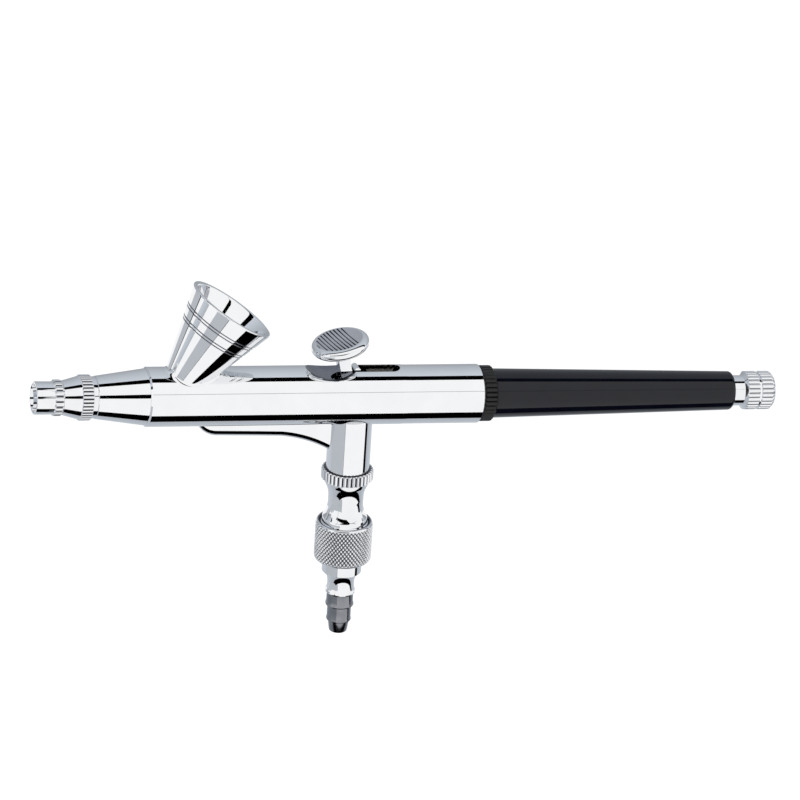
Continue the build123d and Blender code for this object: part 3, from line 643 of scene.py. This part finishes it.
def build_cup_fillet():
    """Solder ring where the cup's cone meets the barrel, hollow in section."""
    around, steps, size = 180, 8, 0.5
    vertices = []
    for k in range(around):
        angle = 2 * pi * k / around
        low, high = 3.0, 16.0
        for _ in range(40):
            s = (low + high) / 2
            p = CUP @ Vector((cup_r(s) * cos(angle), cup_r(s) * sin(angle), s))
            if hypot(p.y, p.z) < BODY_R:
                low = s
            else:
                high = s
        meet = CUP @ Vector((cup_r(s) * cos(angle), cup_r(s) * sin(angle), s))
        up = (CUP @ Vector((cup_r(s + size) * cos(angle), cup_r(s + size) * sin(angle), s + size))) - meet
        outward = Vector((cos(angle), sin(angle), 0))
        radial = Vector((0, meet.y, meet.z)).normalized()
        flat = (CUP.to_3x3() @ outward)
        flat = (flat - radial * flat.dot(radial)).normalized() * size
        foot = meet + flat
        foot = Vector((foot.x, *(Vector((foot.y, foot.z)).normalized() * BODY_R)))
        top = meet + up
        inner = meet - radial * 0.5
        for j in range(steps + 1):
            t = j / steps
            pull = meet + (top + foot - 2 * meet) * 0.12
            vertices.append((1 - t) ** 2 * top + 2 * t * (1 - t) * pull + t * t * foot)
        vertices.append(inner)
    count = steps + 2
    faces = []
    for k in range(around):
        m = (k + 1) % around
        for j in range(count):
            i = (j + 1) % count
            faces.append((k * count + j, k * count + i, m * count + i, m * count + j))
    ring = make_object("cup_solder", vertices, faces, Matrix.Identity(4), crease=radians(60))
    finish_piece(ring, "airbrush_body", "chrome_body", CHROME)


# ------------------------------------------------------------ air stem and fin

FIN_HALF = 1.2
FIN_EDGE_RISE = 3.0
FIN_ROOT_Z = -3.4


def fin_lower_edge():
    """Lower edge of the gusset fin as (x, z) points, from its tip to the stem."""
    edge = arc((-31.2, -6.6), (-27.6, -8.6), -0.45, 10)
    edge += [(-24.0, -8.68), (-19.0, -8.78)]
    return edge + arc((-14.0, -8.9), (-3.0, -12.4), 0.62, 20)


def build_fin():
    """Gusset fin under the barrel, whose lower edge is rounded like the end of an ellipse."""
    edge = fin_lower_edge()
    steps = 14
    vertices = []
    for k, (x, z) in enumerate(edge):
        before = edge[max(k - 1, 0)]
        after = edge[min(k + 1, len(edge) - 1)]
        along = Vector((after[0] - before[0], after[1] - before[1])).normalized()
        for j in range(steps + 1):
            turn = pi * (j / steps - 0.5)
            inward = FIN_EDGE_RISE * (1 - cos(turn))
            vertices.append((x - along.y * inward, FIN_HALF * sin(turn), z + along.x * inward))
        vertices.append((x, FIN_HALF, FIN_ROOT_Z))
        vertices.append((x, -FIN_HALF, FIN_ROOT_Z))
    count = steps + 3
    last = (len(edge) - 1) * count
    faces = [tuple(range(count)), tuple(range(last, last + count))]
    for k in range(len(edge) - 1):
        for j in range(count):
            i = (j + 1) % count
            faces.append((k * count + j, k * count + i, (k + 1) * count + i, (k + 1) * count + j))
    fin = make_object("gusset_fin", vertices, faces, Matrix.Identity(4), crease=radians(35))
    finish_piece(fin, "airbrush_body", "chrome_body", CHROME)


def build_air_stem():
    profile = [(-16.2, 3.32), (-16.2, 4.25), (-16.05, 4.4)]
    profile += [(z, 4.4) for z in rows_between(-15.5, -5.0, 10)]
    profile += [(-4.6, 4.4), (-4.6, 2.1), (-9.4, 2.1), (-9.4, 3.32)]
    stem = revolve("air_stem_tube", profile, STEM)
    finish_piece(stem, "airbrush_body", "chrome_body", CHROME, "air_stem")


# --------------------------------------------------------------------- trigger

BUTTON_TOP = 15.35
BUTTON_R = 5.9
RIM_R = 1.15
FACE_R = BUTTON_R - RIM_R
DISH = 0.2
GROOVE_TURN = radians(9.5)
GROOVE_FIRST = 2.3
GROOVE_PITCH = 0.77
GROOVES = 10
GROOVE_REACH = 4.7


def build_button():
    """Round finger button: a dished face with grip grooves inside a fully round rim."""
    top, rim_z = BUTTON_TOP, BUTTON_TOP - RIM_R
    bulge = RIM_R * (1 - cos(pi / 4))
    profile = [(top - DISH * (1 - (r / FACE_R) ** 2), r) for r in (0.0001, 1.2, 2.6, 3.9, 4.6)]
    profile += arc((top, FACE_R), (rim_z, BUTTON_R), -bulge, 14)
    profile += arc((rim_z, BUTTON_R), (rim_z - RIM_R, FACE_R), -bulge, 14)[1:]
    profile += [(top - 2.6, 3.0), (top - 2.7, 1.5), (top - 2.9, 1.45), (top - 2.9, 0.0001)]
    button = revolve("finger_button", profile, TRIGGER, around=256)
    for k in range(GROOVES):
        boolean(button, groove_cutter(GROOVE_FIRST - k * GROOVE_PITCH))
    smooth_creases(button, 24)
    finish_piece(button, "trigger", "chrome_trim", TRIM)
    button.data.materials.append(SATIN)
    button.data.materials.append(GROOVE_PAINTED_SHADE)
    # The flat top inside the grooves' reach gets the satin face; the grooves' sloping walls get painted
    # shade.
    inverse = TRIGGER.inverted()
    for face in button.data.polygons:
        local = inverse @ (face.center / MM)
        normal = inverse.to_3x3() @ face.normal
        if hypot(local.x, local.y) < GROOVE_REACH + 0.02 and local.z > top - 0.8 and normal.z > 0.2:
            face.material_index = 2 if normal.z < 0.93 else 1
    return button


def groove_cutter(offset):
    """V-section prism that cuts one grip groove across the face and stops short of the rim."""
    half, rise, depth = 0.24, 0.30, 0.22
    reach = sqrt(max(GROOVE_REACH ** 2 - offset ** 2, 0.04))
    z = BUTTON_TOP - DISH * (1 - (offset / FACE_R) ** 2)
    section = [(offset - half, z + rise), (offset + half, z + rise), (offset, z - depth)]
    vertices = [(x, y, height) for y in (-reach, reach) for x, height in section]
    faces = [(0, 1, 2), (3, 4, 5), (0, 1, 4, 3), (1, 2, 5, 4), (2, 0, 3, 5)]
    return make_object("groove_cutter", vertices, faces, TRIGGER @ Matrix.Rotation(GROOVE_TURN, 4, "Z"))


def box_piece(name, place, x0, x1, y0, y1, z0, z1, bevel):
    """Rectangular bar with bevelled edges."""
    vertices = [(x, y, z) for x in (x0, x1) for y in (y0, y1) for z in (z0, z1)]
    faces = [(0, 1, 3, 2), (4, 6, 7, 5), (0, 4, 5, 1), (2, 3, 7, 6), (0, 2, 6, 4), (1, 5, 7, 3)]
    obj = make_object(name, vertices, faces, place)
    bm = bmesh.new()
    bm.from_mesh(obj.data)
    bmesh.ops.bevel(bm, geom=list(bm.edges), offset=bevel * MM, segments=3, profile=0.5, affect="EDGES")
    bm.to_mesh(obj.data)
    bm.free()
    return smooth_creases(obj, 50)


def build_trigger():
    button = build_button()
    post = box_piece("trigger_post", TRIGGER, -1.2, 1.2, -1.5, 1.5, 1.6, BUTTON_TOP - 1.7, 0.12)
    foot = box_piece("trigger_foot", TRIGGER, -1.0, 1.0, -1.3, 1.3, -1.0, 2.6, 0.35)
    boolean(foot, cylinder("pin_cutter", TRIGGER @ Matrix.Rotation(pi / 2, 4, "X"), -3, 3, 0.45, 48))
    boolean(post, foot, "UNION")
    boolean(post, box_piece("fork_cutter", TRIGGER, -3, 3, -0.75, 0.75, -3, 6.4, 0.05))
    smooth_creases(post, 40)
    finish_piece(post, "trigger", "chrome_trim", TRIM, "trigger")
    return button


def build_lever():
    """Plate behind the trigger, with a rounded top and a fork over the needle."""
    place = axis_frame((2.25, 0, -1.6), (-sin(TRIGGER_LEAN), 0, cos(TRIGGER_LEAN)))
    half, width, length, end_r, steps = 0.65, 1.3, 8.3, 0.85, 20
    top = [(half * cos(pi * k / steps), length - half + half * sin(pi * k / steps)) for k in range(steps + 1)]
    root = [(end_r * cos(pi + pi * k / steps), end_r * sin(pi + pi * k / steps)) for k in range(steps + 1)]
    outline = top + root
    count = len(outline)
    vertices = [(x, y, z) for y in (-width, width) for x, z in outline]
    faces = [tuple(range(count)), tuple(range(count, 2 * count))]
    faces += [(k, (k + 1) % count, count + (k + 1) % count, count + k) for k in range(count)]
    lever = make_object("lever_plate", vertices, faces, place)
    boolean(lever, box_piece("lever_fork_cutter", place, -3, 3, -0.75, 0.75, 0.85, 3.4, 0.05))
    boolean(lever, cylinder("lever_pin_cutter", place @ Matrix.Rotation(pi / 2, 4, "X"), -3, 3, 0.5, 48))
    smooth_creases(lever, 30)
    finish_piece(lever, "auxiliary_lever", "chrome_trim", TRIM, "auxiliary_lever")


# --------------------------------------------------------------------- springs

def build_spring(name, place, start, end, mean_r, wire_r, turns, node):
    """Helical compression spring with a closed turn at each end."""
    per_turn, ring = 32, 10
    total = (turns + 2) * per_turn
    vertices = []
    for i in range(total + 1):
        turn = i / per_turn
        closed = 2 * wire_r * 1.02
        free = min(max((turn - 1) / turns, 0.0), 1.0)
        inner = end - start - 2 * wire_r - 2 * closed
        z = start + wire_r + closed * min(turn, 1.0) + inner * free + closed * max(turn - turns - 1, 0.0)
        angle = 2 * pi * turn
        radial = Vector((cos(angle), sin(angle), 0))
        centre = radial * mean_r + Vector((0, 0, z))
        for k in range(ring):
            a = 2 * pi * k / ring
            vertices.append(centre + radial * wire_r * cos(a) + Vector((0, 0, wire_r * sin(a))))
    faces = [tuple(range(ring)), tuple(range(total * ring, total * ring + ring))]
    for i in range(total):
        for k in range(ring):
            m = (k + 1) % ring
            faces.append((i * ring + k, i * ring + m, (i + 1) * ring + m, (i + 1) * ring + k))
    spring = make_object(name, vertices, faces, place, crease=radians(60))
    finish_piece(spring, "airbrush_body", "spring_steel", WIRE, node)


# ------------------------------------------------------------- stage and light

def emitter(name, colour, strength):
    material = bpy.data.materials.new(name)
    material.use_nodes = True
    tree = material.node_tree
    tree.nodes.clear()
    emission = tree.nodes.new("ShaderNodeEmission")
    emission.inputs["Color"].default_value = (*colour, 1)
    emission.inputs["Strength"].default_value = strength
    output = tree.nodes.new("ShaderNodeOutputMaterial")
    tree.links.new(emission.outputs["Emission"], output.inputs["Surface"])
    return material


STUDIO_R = 0.5
CARD_END_X = 3.0
END_WALL_X = 0.6


def hide_from_view(card):
    """Leaves a studio card to be seen in reflections only."""
    card.visible_camera = False
    card.visible_diffuse = False
    card.visible_shadow = False


def add_card(name, vertices, faces, material):
    mesh = bpy.data.meshes.new(name)
    mesh.from_pydata(vertices, [], faces)
    card = bpy.data.objects.new(name, mesh)
    card.data.materials.append(material)
    bpy.context.scene.collection.objects.link(card)
    hide_from_view(card)


def arc_card(name, near, far, material, radius=STUDIO_R):
    """Studio card bent round the barrel's axis, between the edges near and far.

    Each edge is (x, start, stop): its place along X in metres, and the two angles that it
    spans there, in degrees from the front horizon over the top.
    """
    steps = 24
    vertices = []
    for x, start, stop in (near, far):
        for k in range(steps + 1):
            angle = radians(start + (stop - start) * k / steps)
            vertices.append((x, -radius * cos(angle), radius * sin(angle)))
    faces = [(k, k + 1, steps + k + 2, steps + k + 1) for k in range(steps)]
    add_card(name, vertices, faces, material)


def end_card(name, x, y0, y1, z0, z1, material):
    """Flat upright studio card across the barrel's direction."""
    add_card(name, [(x, y0, z0), (x, y1, z0), (x, y1, z1), (x, y0, z1)], [(0, 1, 2, 3)], material)


def gradient(name, start, stop, level_start, level_stop, count):
    """Blue-grey card in narrow strips whose brightness runs evenly from one edge to the other."""
    for k in range(count):
        low = start + (stop - start) * k / count
        high = start + (stop - start) * (k + 1) / count
        level = level_start + (level_stop - level_start) * (k + 0.5) / count
        shade = emitter(f"{name}_{k}", (level * 0.92, level * 0.98, level * 1.06), 1.0)
        arc_card(f"{name}_{k}", (-CARD_END_X, low, high), (CARD_END_X, low, high), shade, STUDIO_R + 0.02)


def build_studio():
    """White surround with black strips, a blue-grey back, end walls and a gap between the front lights."""
    dark = emitter("card_black", (0, 0, 0), 0)
    grey = emitter("card_gap", (0.42, 0.43, 0.45), 1.0)
    wall = emitter("card_end_wall", (0.52, 0.545, 0.58), 1.0)
    arc_card("card_top_strip", (-CARD_END_X, 79, 97), (CARD_END_X, 79, 97), dark)
    arc_card("card_floor_strip", (-0.45, -88, -55), (CARD_END_X, -88, -55), dark)
    arc_card("card_gap_wide", (-0.9, 17, 33), (-0.05, 17.5, 33.5), dark)
    arc_card("card_gap_wedge", (-0.05, 17.5, 33.5), (0.09, 30.5, 32.5), dark)
    arc_card("card_gap_thin", (0.09, 30.5, 32.5), (0.6, 33.5, 34.5), grey)
    gradient("card_back", 97, 190, 0.70, 0.36, 16)
    gradient("card_low_back", -155, -88, 0.66, 0.50, 8)
    end_card("card_low_wall", -END_WALL_X, -0.76, 0.9, -0.8, -0.18, wall)
    end_card("card_low_line", -END_WALL_X, -0.79, -0.76, -0.8, -0.18, dark)
    end_card("card_high_wall", -END_WALL_X, 0.36, 2.0, -0.18, 0.9, wall)
    end_card("card_high_line", -END_WALL_X, 0.32, 0.36, -0.18, 0.9, dark)
    end_card("card_side_gap", -END_WALL_X, -0.41, -0.385, -0.18, 0.9, grey)
    end_card("card_far_line", END_WALL_X, -0.18, -0.02, -0.7, -0.08, dark)
    world = bpy.data.worlds.new("studio")
    world.use_nodes = True
    world.node_tree.nodes["Background"].inputs["Color"].default_value = (1, 1, 1, 1)
    world.node_tree.nodes["Background"].inputs["Strength"].default_value = 1.02
    bpy.context.scene.world = world


def build_floor():
    """Pale floor well under the part."""
    size, depth = 6.0, 0.30
    mesh = bpy.data.meshes.new("floor")
    corners = [(-size, -size, 0), (size, -size, 0), (size, size, 0), (-size, size, 0)]
    mesh.from_pydata(corners, [], [(0, 1, 2, 3)])
    floor = bpy.data.objects.new("floor", mesh)
    floor.location.z = cad_box[0].z - depth
    paint = Nodes("floor_paint").set(Roughness=0.9)
    clouds = paint.spread(paint.noise(3, 3), 0, 1)
    paint.link(paint.mix(clouds, (0.97, 0.97, 0.97), (0.94, 0.94, 0.945)), "Base Color")
    paint.set(Emission_Color=(1, 1, 1, 1), Emission_Strength=0.08)
    floor.data.materials.append(paint.material)
    floor.visible_glossy = False
    bpy.context.scene.collection.objects.link(floor)


def build_camera():
    """Camera at the picture's viewing angle, far off with a long lens."""
    right = Vector((cos(VIEW_SIDE), -sin(VIEW_SIDE), 0))
    up = Vector((sin(VIEW_SIDE) * sin(VIEW_UP), cos(VIEW_SIDE) * sin(VIEW_UP), cos(VIEW_UP)))
    back = Vector((-sin(VIEW_SIDE) * cos(VIEW_UP), -cos(VIEW_SIDE) * cos(VIEW_UP), sin(VIEW_UP)))
    level, tilted = right, up
    right = level * cos(VIEW_ROLL) - tilted * sin(VIEW_ROLL)
    up = level * sin(VIEW_ROLL) + tilted * cos(VIEW_ROLL)
    data = bpy.data.cameras.new("camera")
    data.lens = LENS
    data.sensor_width = 36
    data.clip_start, data.clip_end = 0.05, 20
    camera = bpy.data.objects.new("camera", data)
    place = Matrix((right, up, back)).transposed().to_4x4()
    place.translation = (right * LOOK_RIGHT + up * LOOK_UP + back * VIEW_DISTANCE) * MM
    camera.matrix_world = place
    bpy.context.scene.collection.objects.link(camera)
    bpy.context.scene.camera = camera


dress_cad_nodes()
build_barrel()
build_head()
build_nozzle_cap()
build_needle_cap()
build_paint_cup()
build_cup_fillet()
build_air_stem()
build_fin()
build_valve_body()
build_coupling_nut()
build_hose_barb()
build_trigger()
build_lever()
build_handle_collar()
build_handle()
build_limit_knob()
build_spring("needle_spring_coil", BARREL, 11.5, 34.5, 2.85, 0.25, 14, "needle_spring")
build_spring("valve_spring_coil", STEM, -21.6, -15.9, 1.35, 0.22, 5, "valve_spring")
build_studio()
build_floor()
build_camera()
bpy.context.scene.view_settings.view_transform = "Standard"
